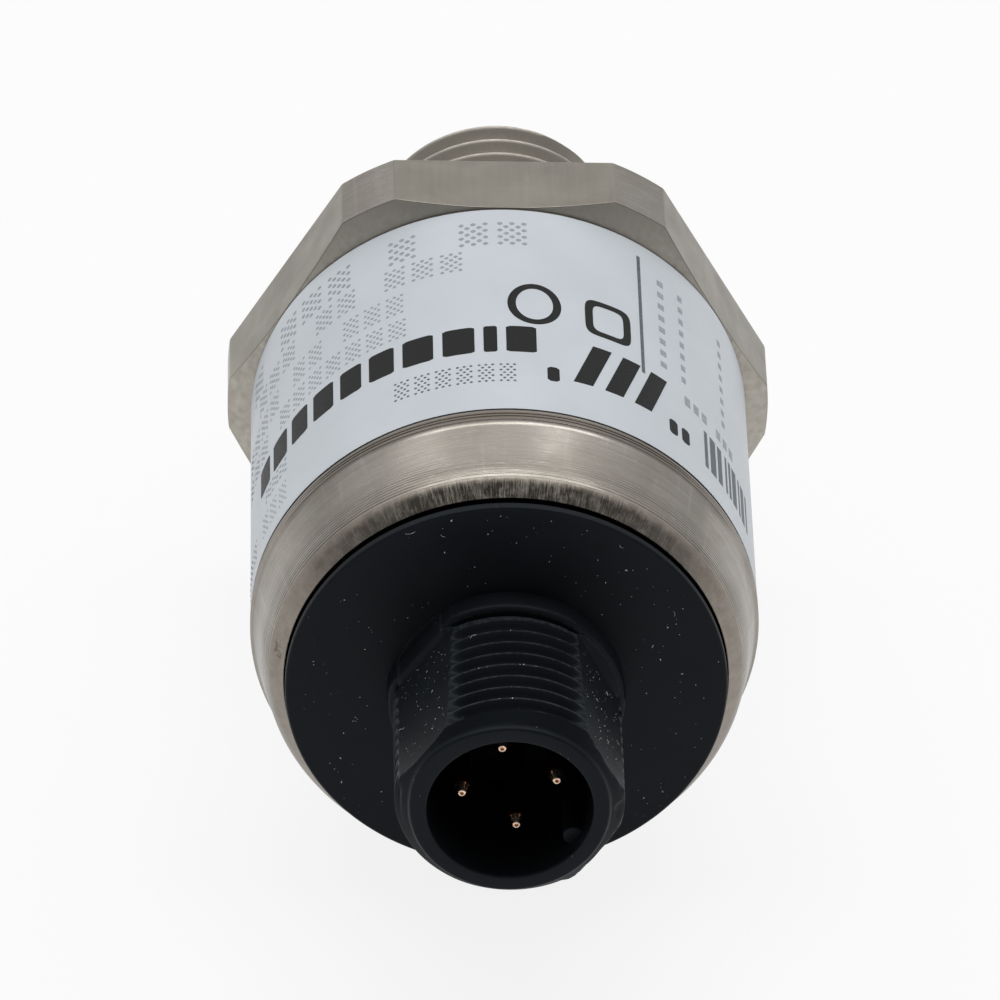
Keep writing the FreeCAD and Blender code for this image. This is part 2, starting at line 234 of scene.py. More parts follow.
def all_round(angles, corners):
    """Profile for each angle, from (y, radius) corners that may change round the axis."""
    plain = np.ones_like(angles)
    return np.stack([np.stack([plain * y, plain * radius], axis=1)
                     for y, radius in corners], axis=1)


def columns(count, *extra):
    """Angles from 0 to a full turn, evenly spread, with extra ones put in."""
    turn = 2 * math.pi
    even = np.linspace(0, turn, count + 1)
    return np.unique(np.concatenate([even, np.mod(extra, turn)]) if extra else even)


def placed(name, data):
    """New object in the scene that holds this data."""
    thing = bpy.data.objects.new(name, data)
    bpy.context.scene.collection.objects.link(thing)
    return thing


def finish_mesh(name, mesh, materials, sharp_angle=35):
    """Welds, orients and shades a bmesh, and makes it a piece of the object."""
    bmesh.ops.remove_doubles(mesh, verts=mesh.verts, dist=2e-4 * MM)
    bmesh.ops.recalc_face_normals(mesh, faces=mesh.faces)
    data = bpy.data.meshes.new(name)
    mesh.to_mesh(data)
    mesh.free()
    for material in materials:
        data.materials.append(material)
    data.shade_smooth()
    data.set_sharp_from_angle(angle=math.radians(sharp_angle))
    piece = placed(name, data)
    even = piece.modifiers.new("even_shading", "WEIGHTED_NORMAL")
    even.keep_sharp = True
    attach(piece, "root")
    return piece


def swept(name, angles, profile, finishes, materials, capped=False,
          centre=(0.0, 0.0)):
    """Surface swept round the Y axis.

    profile is (columns, rows, 2) or (1, rows, 2) with (y, radius) in mm; finishes gives
    the material index of all faces, of each row, or of each face as (columns, rows).
    """
    profile = np.broadcast_to(profile, (len(angles),) + profile.shape[1:])
    count, rows = profile.shape[:2]
    y, radius = profile[..., 0], profile[..., 1]
    x = centre[0] + radius * np.cos(angles)[:, None]
    z = centre[1] + radius * np.sin(angles)[:, None]
    places = np.stack([x, y, z], axis=2) * MM
    finishes = np.broadcast_to(np.asarray(finishes), (count, rows))
    mesh = bmesh.new()
    verts = [[mesh.verts.new(p) for p in column] for column in places]
    for i in range(count - 1):
        for j in range(rows - 1):
            face = mesh.faces.new((verts[i][j], verts[i][j + 1],
                                   verts[i + 1][j + 1], verts[i + 1][j]))
            face.material_index = int(finishes[i, j])
    if capped:
        for i in (0, count - 1):
            mesh.faces.new(verts[i][:-1]).material_index = int(finishes[0, 0])
    return finish_mesh(name, mesh, materials)


def thread_rows(angles, start, end, pitch, crest, depth, form, fade=1.0, origin=None,
                last=math.inf):
    """Rows of a right-hand thread between two planes, along its helix.

    The first crest passes angle 0 at the origin; past the last one no groove is cut.
    """
    origin = start if origin is None else origin
    shares = [share for share, _ in form]
    turns = int(math.ceil((end - origin) / pitch)) + 2
    lifts = np.array([turn + share for turn in range(-1, turns) for share in shares])
    lag = angles[:, None] / (2 * math.pi)
    y = np.clip(origin + (lifts[None, :] - lag) * pitch, start, end)
    turn = (y - origin) / pitch + lag
    phase = np.mod(turn, 1.0)
    cut = np.interp(phase, [s for s, _ in form] + [1.0], [d for _, d in form] + [0.0])
    cut = np.where(turn > last, 0.0, cut)
    return np.stack([y, crest - depth * cut * fade], axis=2)


METRIC_FORM = [(0.0, 0.0), (0.045, 0.0), (0.085, 0.07), (0.23, 0.53), (0.355, 0.94),
               (0.41, 1.0), (0.5, 1.0), (0.59, 1.0), (0.645, 0.94), (0.77, 0.53),
               (0.915, 0.07), (0.955, 0.0)]
WHITWORTH_FORM = [(0.0, 0.0), (0.05, 0.03), (0.11, 0.14), (0.25, 0.5), (0.39, 0.86),
                  (0.45, 0.97), (0.5, 1.0), (0.55, 0.97), (0.61, 0.86), (0.75, 0.5),
                  (0.89, 0.14), (0.95, 0.03)]


def away_from(angles, middle):
    """How far each angle is from this one, in radians, from 0 to pi."""
    return np.abs(np.mod(angles - middle + math.pi, 2 * math.pi) - math.pi)


# ---------------------------------------------------------------- materials

def linear(colour):
    """Linear RGBA of an sRGB hex colour."""
    channels = [int(colour[i:i + 2], 16) / 255 for i in (1, 3, 5)]
    return [c / 12.92 if c <= 0.04045 else ((c + 0.055) / 1.055) ** 2.4
            for c in channels] + [1.0]


def add(tree, kind, inputs=None, **settings):
    """One shader node; each input is a value, or another node's output to link."""
    node = tree.nodes.new("ShaderNode" + kind)
    for name, value in settings.items():
        setattr(node, name, value)
    for name, value in (inputs or {}).items():
        if isinstance(value, bpy.types.NodeSocket):
            tree.links.new(value, node.inputs[name])
        else:
            node.inputs[name].default_value = value
    return node


def new_material(name, **shader_values):
    """A material with a Principled shader; returns it, its tree and the shader."""
    material = bpy.data.materials.new(name)
    material.use_nodes = True
    tree = material.node_tree
    tree.nodes.clear()
    shader = add(tree, "BsdfPrincipled")
    for socket, value in shader_values.items():
        shader.inputs[socket.replace("_", " ")].default_value = value
    output = add(tree, "OutputMaterial")
    tree.links.new(shader.outputs[0], output.inputs[0])
    return material, tree, shader


def axis_places(tree):
    """Place on the object in mm: (y, radius, cosine, sine) round the Y axis."""
    place = add(tree, "VectorMath", {0: add(tree, "TexCoord").outputs["Object"],
                                     3: 1 / MM}, operation="SCALE")
    split = add(tree, "SeparateXYZ", {0: place.outputs[0]})
    flat = add(tree, "CombineXYZ", {0: split.outputs[0], 2: split.outputs[2]})
    radius = add(tree, "VectorMath", {0: flat.outputs[0]}, operation="LENGTH").outputs[1]
    unit = add(tree, "SeparateXYZ", {
        0: add(tree, "VectorMath", {0: flat.outputs[0]}, operation="NORMALIZE").outputs[0]})
    return split.outputs[1], radius, unit.outputs[0], unit.outputs[2], place.outputs[0]


def times(tree, a, b):
    """Product of two values."""
    return add(tree, "Math", {0: a, 1: b}, operation="MULTIPLY").outputs[0]


def weighed(tree, a, b, weight_a=1.0, weight_b=1.0):
    """weight_a * a + weight_b * b."""
    return add(tree, "Math", {0: b, 1: weight_b, 2: times(tree, a, weight_a)},
               operation="MULTIPLY_ADD").outputs[0]


def lines(tree, around, along, roughness=0.6, detail=3.0, slope=0.7):
    """Noise stretched round the axis, or along it: feature sizes in mm each way."""
    y, radius, cosine, sine, _ = axis_places(tree)
    reach = sleeve_radius / around
    length = weighed(tree, y, radius, 1 / along, slope / along)
    place = add(tree, "CombineXYZ", {0: times(tree, cosine, reach), 1: length,
                                     2: times(tree, sine, reach)})
    return add(tree, "TexNoise", {"Vector": place.outputs[0], "Scale": 1.0,
                                  "Detail": detail, "Roughness": roughness}).outputs[0]


def blotches(tree, size, detail=2.0, roughness=0.5, distortion=0.0):
    """Soft cloudy noise with features of this size in mm."""
    return add(tree, "TexNoise", {"Vector": axis_places(tree)[4], "Scale": 1 / size,
                                  "Detail": detail, "Roughness": roughness,
                                  "Distortion": distortion}).outputs[0]


def ranged(tree, value, low, high, to_low, to_high, smooth=False):
    """The value moved from one range to another and kept inside it."""
    kind = "SMOOTHSTEP" if smooth else "LINEAR"
    return add(tree, "MapRange", {0: value, 1: low, 2: high, 3: to_low, 4: to_high},
               interpolation_type=kind).outputs[0]


def tinted(tree, factor, colour_a, colour_b):
    """Colour between two, by the factor; each is a hex colour or an output."""
    ends = [linear(c) if isinstance(c, str) else c for c in (colour_a, colour_b)]
    return add(tree, "Mix", {0: factor, 6: ends[0], 7: ends[1]},
               data_type="RGBA").outputs[2]


def bumped(tree, shader, *layers):
    """Bump from (height, depth in mm) layers, one on top of the other."""
    normal = None
    for height, depth in layers:
        inputs = {"Height": height, "Distance": depth * MM, "Strength": 1.0}
        if normal is not None:
            inputs["Normal"] = normal
        normal = add(tree, "Bump", inputs).outputs[0]
    tree.links.new(normal, shader.inputs["Normal"])


def link_all(tree, shader, **sockets):
    """Links outputs to the shader's sockets by name."""
    for socket, output in sockets.items():
        tree.links.new(output, shader.inputs[socket.replace("_", " ")])


def finger_mark(tree):
    """Share of a small dark mark on the left of the rolled lip."""
    place = axis_places(tree)[4]
    grain = blotches(tree, 0.25, detail=3.0)
    centre = Vector((lip_radius * math.cos(mark_angle), mark_place,
                     lip_radius * math.sin(mark_angle)))
    offset = add(tree, "VectorMath", {0: place, 1: centre}, operation="SUBTRACT")
    squeezed = add(tree, "VectorMath", {0: offset.outputs[0], 1: (0.9, 2.2, 0.9)},
                   operation="MULTIPLY")
    reach = add(tree, "VectorMath", {0: squeezed.outputs[0]}, operation="LENGTH")
    edge = weighed(tree, reach.outputs[1], grain, 1.0, 1.6)
    return ranged(tree, edge, 1.0, 1.5, 0.6, 0.0, smooth=True)


def turned_stainless_steel():
    """Stainless steel 1.4404, finish turned: fine rings round the axis that draw each
    highlight out along it, with short scratches, faint stains, and the land painted darker
    and browner as a painted dark reflection."""
    material, tree, shader = new_material("turned_stainless_steel", Metallic=1.0,
                                          Anisotropic=0.35, Anisotropic_Rotation=0.25)
    y, radius, _, _, _ = axis_places(tree)
    tangent = add(tree, "Tangent", direction_type="RADIAL", axis="Y")
    feed = lines(tree, around=7.0, along=0.12)
    scratch = lines(tree, around=0.8, along=0.06, detail=2.0)
    streak = lines(tree, around=0.5, along=6.0, detail=1.0, slope=0.0)
    stain = blotches(tree, 3.2, detail=3.0, distortion=0.6)
    painted_dark_land = times(tree, ranged(tree, y, land_start - 0.02, land_start, 0, 1),
                    ranged(tree, y, land_end, land_end + 0.02, 1, 0))
    wave = add(tree, "Math", {0: times(tree, y, math.tau / turning_pitch)},
               operation="SINE")
    wave = weighed(tree, wave.outputs[0], feed, 1.0, 1.5)
    near_knee = times(tree, ranged(tree, y, knee - 0.4, knee, 0, 1),
                      ranged(tree, y, knee + 0.9, knee + 1.8, 1, 0))
    ring = times(tree, ranged(tree, wave, 0.9, 1.6, 0, 0.65), near_knee)
    base = tinted(tree, ranged(tree, stain, 0.35, 0.7, 0, 1), "#a09b94", "#938e86")
    colour = tinted(tree, ranged(tree, feed, 0.4, 0.75, 0, 0.4), base, "#756e65")
    colour = tinted(tree, ring, colour, "#5c554d")
    colour = tinted(tree, ranged(tree, streak, 0.62, 0.76, 0, 0.12), colour, "#d2cdc4")
    colour = tinted(tree, ranged(tree, scratch, 0.60, 0.74, 0, 0.5), colour, "#c3beb5")
    # The land painted darker and browner: a painted dark reflection on this narrow band
    colour = tinted(tree, times(tree, painted_dark_land, 0.6), colour, "#6b6157")
    colour = tinted(tree, finger_mark(tree), colour, "#4c463f")
    roughness = weighed(tree, ranged(tree, feed, 0.25, 0.75, 0.24, 0.32),
                        ranged(tree, stain, 0.3, 0.7, -0.02, 0.05))
    link_all(tree, shader, Base_Color=colour, Roughness=roughness,
             Tangent=tangent.outputs[0])
    bumped(tree, shader, (feed, 0.0018), (scratch, 0.0014))
    return material


def rolled_stainless_steel():
    """The same steel where the lip is rolled in: a mottled band with hairlines along the
    axis that the rolls leave; on top it is painted darker, a painted dark reflection that
    also carries the hairlines, and this fades out at the sides."""
    material, tree, shader = new_material("rolled_stainless_steel", Metallic=1.0)
    y, _, _, sine, _ = axis_places(tree)
    hair = lines(tree, around=0.08, along=1.2, detail=3.0, roughness=0.8)
    patch = blotches(tree, 0.7, detail=4.0, roughness=0.7)
    mixed = weighed(tree, hair, patch, 0.6, 0.4)
    hairlines_and_painted_shade = tinted(tree, ranged(tree, mixed, 0.46, 0.62, 0, 1), "#4c4741", "#a39d93")
    even = tinted(tree, ranged(tree, patch, 0.35, 0.65, 0, 1), "#857e75", "#978f86")
    # Share of the painted dark reflection: full on top of the lip band, none at the sides
    painted_shade_top = ranged(tree, weighed(tree, sine, mixed, 1.0, 0.5), 0.85, 1.2, 0, 1)
    at_knee = ranged(tree, weighed(tree, y, mixed, 1.0, 1.2), knee + 0.15, knee + 0.6, 1, 0)
    colour = tinted(tree, times(tree, painted_shade_top, at_knee), even, hairlines_and_painted_shade)
    colour = tinted(tree, finger_mark(tree), colour, "#3d3832")
    roughness = weighed(tree, ranged(tree, hair, 0.3, 0.7, 0.30, 0.42),
                        ranged(tree, patch, 0.3, 0.7, -0.03, 0.05))
    link_all(tree, shader, Base_Color=colour, Roughness=roughness)
    bumped(tree, shader, (hair, 0.004), (patch, 0.006))
    return material


def drawn_stainless_steel():
    """Hexagon bar as drawn: dull, even flats with the faintest draw lines."""
    material, tree, shader = new_material("drawn_stainless_steel", Metallic=1.0)
    draw = lines(tree, around=0.3, along=7.0, detail=2.0)
    cloud = blotches(tree, 2.6, detail=3.0, distortion=0.4)
    base = tinted(tree, ranged(tree, cloud, 0.35, 0.7, 0, 1), "#949087", "#87827a")
    colour = tinted(tree, ranged(tree, draw, 0.4, 0.75, 0, 0.15), base, "#b0aaa0")
    roughness = weighed(tree, ranged(tree, draw, 0.3, 0.7, 0.36, 0.42),
                        ranged(tree, cloud, 0.3, 0.7, -0.02, 0.04))
    link_all(tree, shader, Base_Color=colour, Roughness=roughness)
    bumped(tree, shader, (draw, 0.0008), (cloud, 0.004))
    return material


def polyester_film():
    """White polyester label film, printed and satin: a cool white with a soft sheen."""
    material, tree, shader = new_material("polyester_label_film", IOR=1.55,
                                          Specular_IOR_Level=0.35)
    cloud = blotches(tree, 4.0, detail=2.0)
    skin = blotches(tree, 0.35, detail=2.0)
    colour = tinted(tree, ranged(tree, cloud, 0.3, 0.7, 0, 1), "#cbd1d7", "#c5cbd1")
    roughness = ranged(tree, skin, 0.3, 0.7, 0.36, 0.46)
    link_all(tree, shader, Base_Color=colour, Roughness=roughness)
    bumped(tree, shader, (skin, 0.0012))
    return material


def glass_filled_polyamide():
    """Black glass-filled polyamide as moulded: matt, near black and faintly blue, with
    a fine grain, thread crests painted a little pale as a painted highlight, and a dusting of
    tiny pale grains."""
    material, tree, shader = new_material("glass_filled_polyamide", IOR=1.53,
                                          Specular_IOR_Level=0.11,
                                          Specular_Tint=linear("#dfe9f5"))
    _, radius, _, _, place = axis_places(tree)
    grain = blotches(tree, 0.10, detail=2.0)
    cloud = blotches(tree, 3.0, detail=2.0)
    body = tinted(tree, ranged(tree, cloud, 0.3, 0.7, 0, 1), "#171a1e", "#1b1e22")
    # Thread crests painted paler: a painted highlight along each crest, broken up a little
    painted_highlight_share = times(tree, ranged(tree, radius, crest_radius - 0.05, crest_radius - 0.01, 0, 1),
                   ranged(tree, radius, crest_radius + 0.01, crest_radius + 0.03, 1, 0))
    broken = ranged(tree, blotches(tree, 0.25, detail=3.0), 0.35, 0.65, 0.1, 1.0)
    body = tinted(tree, times(tree, painted_highlight_share, broken), body, "#323539")
    cells = add(tree, "TexVoronoi", {"Vector": place, "Scale": 1 / 0.42,
                                     "Randomness": 1.0})
    dot = ranged(tree, cells.outputs["Distance"], 0.05, 0.09, 1, 0)
    pick = ranged(tree, add(tree, "SeparateXYZ", {0: cells.outputs["Color"]}).outputs[0],
                  0.74, 0.86, 0, 0.6)
    dust = times(tree, dot, pick)
    colour = tinted(tree, dust, body, "#8d8f92")
    roughness = weighed(tree, ranged(tree, grain, 0.3, 0.7, 0.36, 0.46),
                        ranged(tree, cloud, 0.3, 0.7, -0.03, 0.03))
    link_all(tree, shader, Base_Color=colour, Roughness=roughness)
    bumped(tree, shader, (grain, 0.002), (dust, 0.01))
    return material


def speckled(name, colour_a, colour_b, size, rough_low, rough_high, detail=2.0,
             depth=0.002, change=(0.3, 0.7), **shader_values):
    """Two close tones in soft specks of one size in mm, with a bump of this depth.

    change is the range of the noise over which one tone passes into the other.
    """
    material, tree, shader = new_material(name, **shader_values)
    grain = blotches(tree, size, detail=detail)
    share = ranged(tree, grain, *change, 0, 1)
    link_all(tree, shader, Base_Color=tinted(tree, share, colour_a, colour_b),
             Roughness=ranged(tree, grain, 0.3, 0.7, rough_low, rough_high))
    if depth:
        bumped(tree, shader, (grain, depth))
    return material


def print_ink(name, colour, worn_colour):
    """Printing ink on film: flat and satin, broken up a little where it is thin."""
    return speckled(name, colour, worn_colour, 0.16, 0.40, 0.55, depth=0,
                    change=(0.5, 0.72), IOR=1.5, Specular_IOR_Level=0.2)


steel = turned_stainless_steel()
# Stainless steel faced with a coarse tool: dull, with no clear highlight, and painted paler
# than the turned steel as painted light on the hexagon's front face and the stud
pale_painted_steel = speckled("faced_stainless_steel_painted_pale", "#bbb6ad", "#b5b0a7", 0.4, 0.50, 0.62,
                      Metallic=1.0)
rolled_steel = rolled_stainless_steel()
drawn_steel = drawn_stainless_steel()
film = polyester_film()
# Cut edge and underside of the film: a thin speckled dark line, painted shade where the
# film's edge meets the sleeve
shaded_label_edge = speckled("label_edge_painted_shade", "#2e2e30", "#565656", 0.3, 0.7, 0.7, depth=0,
                    change=(0.35, 0.65))
black_ink = print_ink("black_print", "#0b0b0c", "#1d1e20")
grey_ink = print_ink("grey_print", "#979da3", "#adb3b9")
dark_grey_ink = print_ink("dark_grey_print", "#5a5f64", "#777d82")
plastic = glass_filled_polyamide()
# Hard gold on bronze contacts, coppery where it is thin
gold = speckled("gold_plated_bronze", "#c07a3c", "#8a4c28", 0.16, 0.25, 0.4, detail=3.0,
                depth=0.008, change=(0.38, 0.62), Metallic=1.0)
# The same gold painted pale at the tips: a painted highlight
painted_highlight_gold = speckled("gold_plating_painted_highlight", "#f0dcc8", "#b98f78", 0.16, 0.18, 0.3,
                       detail=3.0, depth=0.008, change=(0.38, 0.62), Metallic=1.0)
# Black fluororubber as moulded: dull, with a soft grain
rubber = speckled("moulded_fluororubber", "#18181a", "#242426", 0.15, 0.55, 0.68,
                  detail=3.0, depth=0.004, IOR=1.4)
# Dust and lint that has settled: off-white and quite dull
lint = speckled("dust_and_lint", "#d6d6d4", "#f2f2f0", 0.05, 0.7, 0.9)
inner_finishes = {
    "turned_steel": steel,
    "fluororubber": rubber,
    # Natural polyamide, moulded: creamy and a little uneven
    "natural_plastic": speckled("natural_polyamide", "#d9cfb4", "#e3dac2", 1.2, 0.45, 0.6),
    # Alumina, sintered and ground: dense off-white with a fine grain
    "alumina": speckled("ground_alumina", "#e6e4dd", "#efede7", 0.2, 0.35, 0.5),
    # Glass epoxy board under solder mask: deep green, faintly woven
    "circuit_board": speckled("solder_mask_board", "#1d5a33", "#246a3d", 0.5, 0.3, 0.45),
    # Epoxy chip package: dull black with a fine grain
    "chip_plastic": speckled("moulded_epoxy", "#1c1c1d", "#29292a", 0.1, 0.55, 0.7),
    "label_film": film,
    "connector_plastic": plastic,
    "gold_plating": gold,
    # Drawn aluminium can: bright and smooth
    "capacitor_can": speckled("drawn_aluminium", "#d5d6d8", "#c6c8ca", 0.4, 0.2, 0.3,
                              Metallic=1.0),
}


# ---------------------------------------------------------------- housing sleeve

def turned_rings(y):
    """Depth of the fine rings that the tool left round the knee."""
    share = np.interp(y, [knee + place for place in turned_band], [0, 1, 1, 0])
    return turning_depth * share * (0.5 + 0.5 * np.cos(2 * math.pi * y / turning_pitch))


def housing_shell():
    """Sleeve with its land, tapered shoulder, rolled lip and bore."""
    bend, _ = rounded([(lip_edge, lip_radius), (knee, knee_radius),
                       (taper_end, taper_radius)], [0, knee_rounding, 0], 12)
    fine_start, fine_end = fine_rows
    bend_y = np.concatenate([np.linspace(lip_edge, fine_start - row_spacing, 12),
                             np.arange(fine_start, fine_end, turning_pitch / 6),
                             np.linspace(fine_end + row_spacing, taper_end, 10)])
    bend_radius = np.interp(bend_y, bend[0, :, 0], bend[0, :, 1]) - turned_rings(bend_y)
    corners = [
        (flange_step, shoulder_bore_radius, 0.0),
        (lip_edge, shoulder_bore_radius, 0.03),
        *[(y, radius, 0.0) for y, radius in zip(bend_y, bend_radius)],
        (land_start, sleeve_radius, 0.03),
    ]
    groove_bottom = sleeve_radius - land_groove_depth
    for place in land_grooves:
        start = land_start + place
        end = start + land_groove_width
        corners += [(start, sleeve_radius, 0.0),
                    (start + land_groove_side, groove_bottom, 0.0),
                    (end, groove_bottom, 0.0),
                    (end + land_groove_side, sleeve_radius, 0.0)]
    bore = flange_radius + slip_clearance
    corners += [
        (land_end, sleeve_radius, 0.02),
        (land_end, label_seat_radius, 0.0),
        (hexagon_front, label_seat_radius, 0.0),
        (hexagon_front, bore, 0.0),
        (flange_step, bore, 0.0),
        (flange_step, shoulder_bore_radius, 0.0),
    ]
    places, _ = turned_profile(corners, 4)
    before_knee = places[0, :, 0] < knee - row_spacing
    band = before_knee & (places[0, :, 1] > shoulder_bore_radius + row_spacing)
    piece = swept("housing_shell", columns(256), places, band.astype(int),
                  [steel, rolled_steel])
    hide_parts("housing_sleeve")


# ---------------------------------------------------------------- label and its print

def label_film_wrap():
    """Film wrapped round the sleeve, its two ends a little apart underneath."""
    half_gap = label_half_gap / label_radius
    angles = np.linspace(-math.pi / 2 + half_gap, 3 * math.pi / 2 - half_gap, 257)
    seam = (label_front + 1.0, label_seat_radius, 0.0)
    corners = [
        seam,
        (label_front, label_seat_radius, 0.0),
        (label_front, label_radius, 0.02),
        (label_back, label_radius, 0.02),
        (label_back, label_seat_radius, 0.0),
        seam,
    ]
    places, owner = turned_profile(corners, 2)
    outer_face = 2
    # All faces but the outer one get the dark edge finish: painted shade at the film's edges
    finishes = [int(corner != outer_face) for corner in owner]
    piece = swept("label_film", angles, places, finishes, [film, shaded_label_edge],
                  capped=True)
    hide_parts("rating_label")


def inked(name, strips, material):
    """Thin print on the label.  A strip is a list of rows of points, each point given
    as (angle in degrees, y in mm); its last row may close on the first."""
    mesh = bmesh.new()
    for strip in strips:
        rings = []
        for row in strip:
            there = [(label_radius + print_height, *point) for point in row]
            back = [(label_radius - print_sink, *point) for point in reversed(row)]
            rings.append([mesh.verts.new(Vector((radius * math.cos(math.radians(angle)), y,
                                                 radius * math.sin(math.radians(angle))))
                                         * MM) for radius, angle, y in there + back])
        for one, two in zip(rings, rings[1:]):
            for i in range(len(one)):
                mesh.faces.new((one[i - 1], one[i], two[i], two[i - 1]))
        if strip[0] != strip[-1]:
            mesh.faces.new(rings[0])
            mesh.faces.new(rings[-1])
    return finish_mesh(name, mesh, [material])


def block_strip(start, end, low, high, slant=0.0, step=1.5):
    """Filled block between two angles and two planes, its sides slanted by an angle."""
    count = max(1, math.ceil(abs(end - start) / step))
    rows = max(1, math.ceil(abs(slant) / step))
    return [[(start + (end - start) * i / count + slant * j / rows,
              low + (high - low) * j / rows) for j in range(rows + 1)]
            for i in range(count + 1)]


def rounded_block(angle, y, width, height, corners=2.0, rows=3):
    """Filled rounded form round a centre, in degrees and mm; 2 corners make it round."""
    reach = math.degrees(width / 2 / label_radius)
    strip = []
    for i in range(rows):
        along = 0.94 * (2 * i / (rows - 1) - 1)
        up = (1 - abs(along) ** corners) ** (1 / corners) * height / 2
        strip.append([(angle + reach * along, y - up), (angle + reach * along, y + up)])
    return strip


def outline_strip(angle, y, width, height, line, corners):
    """Closed outline of a rounded form round a centre; corners sets how square it is."""
    pairs = []
    for i in range(65):
        turn = 2 * math.pi * i / 64
        c, s = math.cos(turn), math.sin(turn)
        reach = (abs(c) ** corners + abs(s) ** corners) ** (-1 / corners)
        pair = []
        for cut in (0.0, line):
            along = (width / 2 - cut) * c * reach
            up = (height / 2 - cut) * s * reach
            pair.append((angle - math.degrees(along / label_radius), y + up))
        pairs.append(pair)
    pairs[-1] = pairs[0]
    return pairs


word_gap = 0.9


def row_of_blocks(start, low, high, pitch, words, fill=0.6):
    """Row of plain blocks that stands for small print, from a right-hand end."""
    strips, angle = [], start
    for letters in words:
        for _ in range(letters):
            strips.append(block_strip(angle, angle + pitch * fill, low, high))
            angle += pitch
        angle += pitch * word_gap
    return strips


def row_of_dots(start, low, high, pitch, words, columns_each, rows_each):
    """Row of even patches of printer's dots, from a right-hand end."""
    strips, angle = [], start
    across = pitch * 0.62 / (columns_each - 1)
    up = (high - low) / (rows_each - 1)
    size = min(up, math.radians(across) * label_radius) * 0.74
    for letters in words:
        for _ in range(letters):
            for i in range(columns_each):
                for j in range(i % 2, rows_each, 2):
                    strips.append(rounded_block(angle + across * i, low + up * j, size * 1.3,
                                                size * 1.3))
            angle += pitch
        angle += pitch * word_gap
    return strips


def label_print():
    """Plain blocks, bars, dots and outlines where the label carries print."""
    # Start in degrees, two planes from the rim, pitch in degrees, letters in each word
    grey = []
    for start, low, high, pitch, words in ((85.8, 32.8, 34.7, 8.9, (2, 1, 3, 1, 3)),
                                           (100.6, 30.5, 32.1, 6.8, (3, 2, 3)),
                                           (114.6, 27.9, 29.5, 5.8, (3, 2, 4)),
                                           (114.1, 25.6, 27.1, 5.8, (7, 3))):
        grey += row_of_dots(start, rim + low, rim + high, pitch, words, 5, 7)
    inked("grey_print_rows", grey, grey_ink)

    small = row_of_dots(89.0, rim + 19.8, rim + 21.3, 4.9, [6], 5, 7)
    small += [block_strip(57.3, 58.2, rim + 23.7, rim + 34.8)]
    inked("fine_print_row", small, dark_grey_ink)

    # Blocks of these widths, with the gap between them, in degrees
    bold, angle, gap = [], 83.6, 1.7
    for step in (9.0, 5.0, 9.5, 9.5, 8.5, 8.0, 8.5, 8.0, 8.5, 8.0):
        width = math.radians(step - gap) * label_radius
        middle = angle + step / 2 - gap / 2
        bold.append(rounded_block(middle, rim + 23.7, width, 2.4, 9.0, 9))
        angle += step
    inked("bold_print_band", bold, black_ink)

    marks = [outline_strip(84.0, rim + 27.1, 2.9, 3.8, 0.45, 2.0),
             outline_strip(66.5, rim + 27.0, 2.7, 3.3, 0.45, 5.0)]
    for start in (71.0, 63.5, 56.0):
        marks.append(block_strip(start, start + 4.6, rim + 20.4, rim + 24.2, slant=-5.0))
    for middle, y, width in ((80.2, 20.7, 0.7), (49.6, 20.3, 0.62), (45.8, 20.3, 0.62)):
        marks.append(rounded_block(middle, rim + y, width, 1.3, 5.0, 5))
    inked("bold_print_marks", marks, black_ink)

    side = row_of_blocks(26.0, rim + 23.4, rim + 24.2, 3.0, [3, 3])
    for start, end in ((50.8, 52.6), (44.8, 46.2), (29.4, 30.8)):
        side += [block_strip(start, end, rim + 25.4 + 1.1 * i, rim + 25.9 + 1.1 * i)
                 for i in range(8)]
    inked("side_print_rows", side, grey_ink)

    # Width of each stripe and the gap after it, in degrees
    stripes, angle = [], 17.5
    for wide, gap in ((1.0, 1.2), (2.0, 0.9), (0.8, 1.3), (2.2, 0.8), (1.0, 0.9),
                      (0.8, 1.6), (1.8, 0.9), (2.2, 1.0), (1.2, 0.6)):
        stripes.append(block_strip(angle, angle + wide, rim + 19.3, rim + 22.6))
        angle += wide + gap
    inked("stripe_block", stripes, dark_grey_ink)

    low_rows = (row_of_dots(150.5, rim + 18.5, rim + 20.1, 4.6, [3, 3], 5, 7)
                + row_of_dots(150.5, rim + 21.1, rim + 22.1, 3.8, [3], 3, 5))
    inked("lower_print_rows", low_rows, grey_ink)


# ---------------------------------------------------------------- connector

def flat_distance(y):
    """Distance of the moulded flats from the axis; they lean in a little to the rear."""
    return moulded_flat - flat_lean * (y - rim - flat_lean_start)


def from_flats(angles):
    """How far each angle is from the middle of the nearest moulded flat."""
    return np.min([away_from(angles, middle) for middle in flat_angles], axis=0)


def flat_fade(angles):
    """Depth share of the thread: its grooves run out at the edges of the flats."""
    edge = math.acos(moulded_flat / crest_radius)
    share = np.clip((from_flats(angles) - edge) / flat_runout + flat_runout_inside, 0, 1)
    return (share * share * (3 - 2 * share))[:, None]


def key_wall(angles):
    """Radius of the socket wall where the coding key stands in from it."""
    off = away_from(angles, key_angle)
    middle = socket_radius - key_height + key_half_width
    inside = np.sqrt(np.maximum(key_half_width ** 2 - (middle * np.sin(off)) ** 2, 0))
    wall = middle * np.cos(off) - inside
    return np.where(off < math.asin(key_half_width / socket_radius), wall, socket_radius)


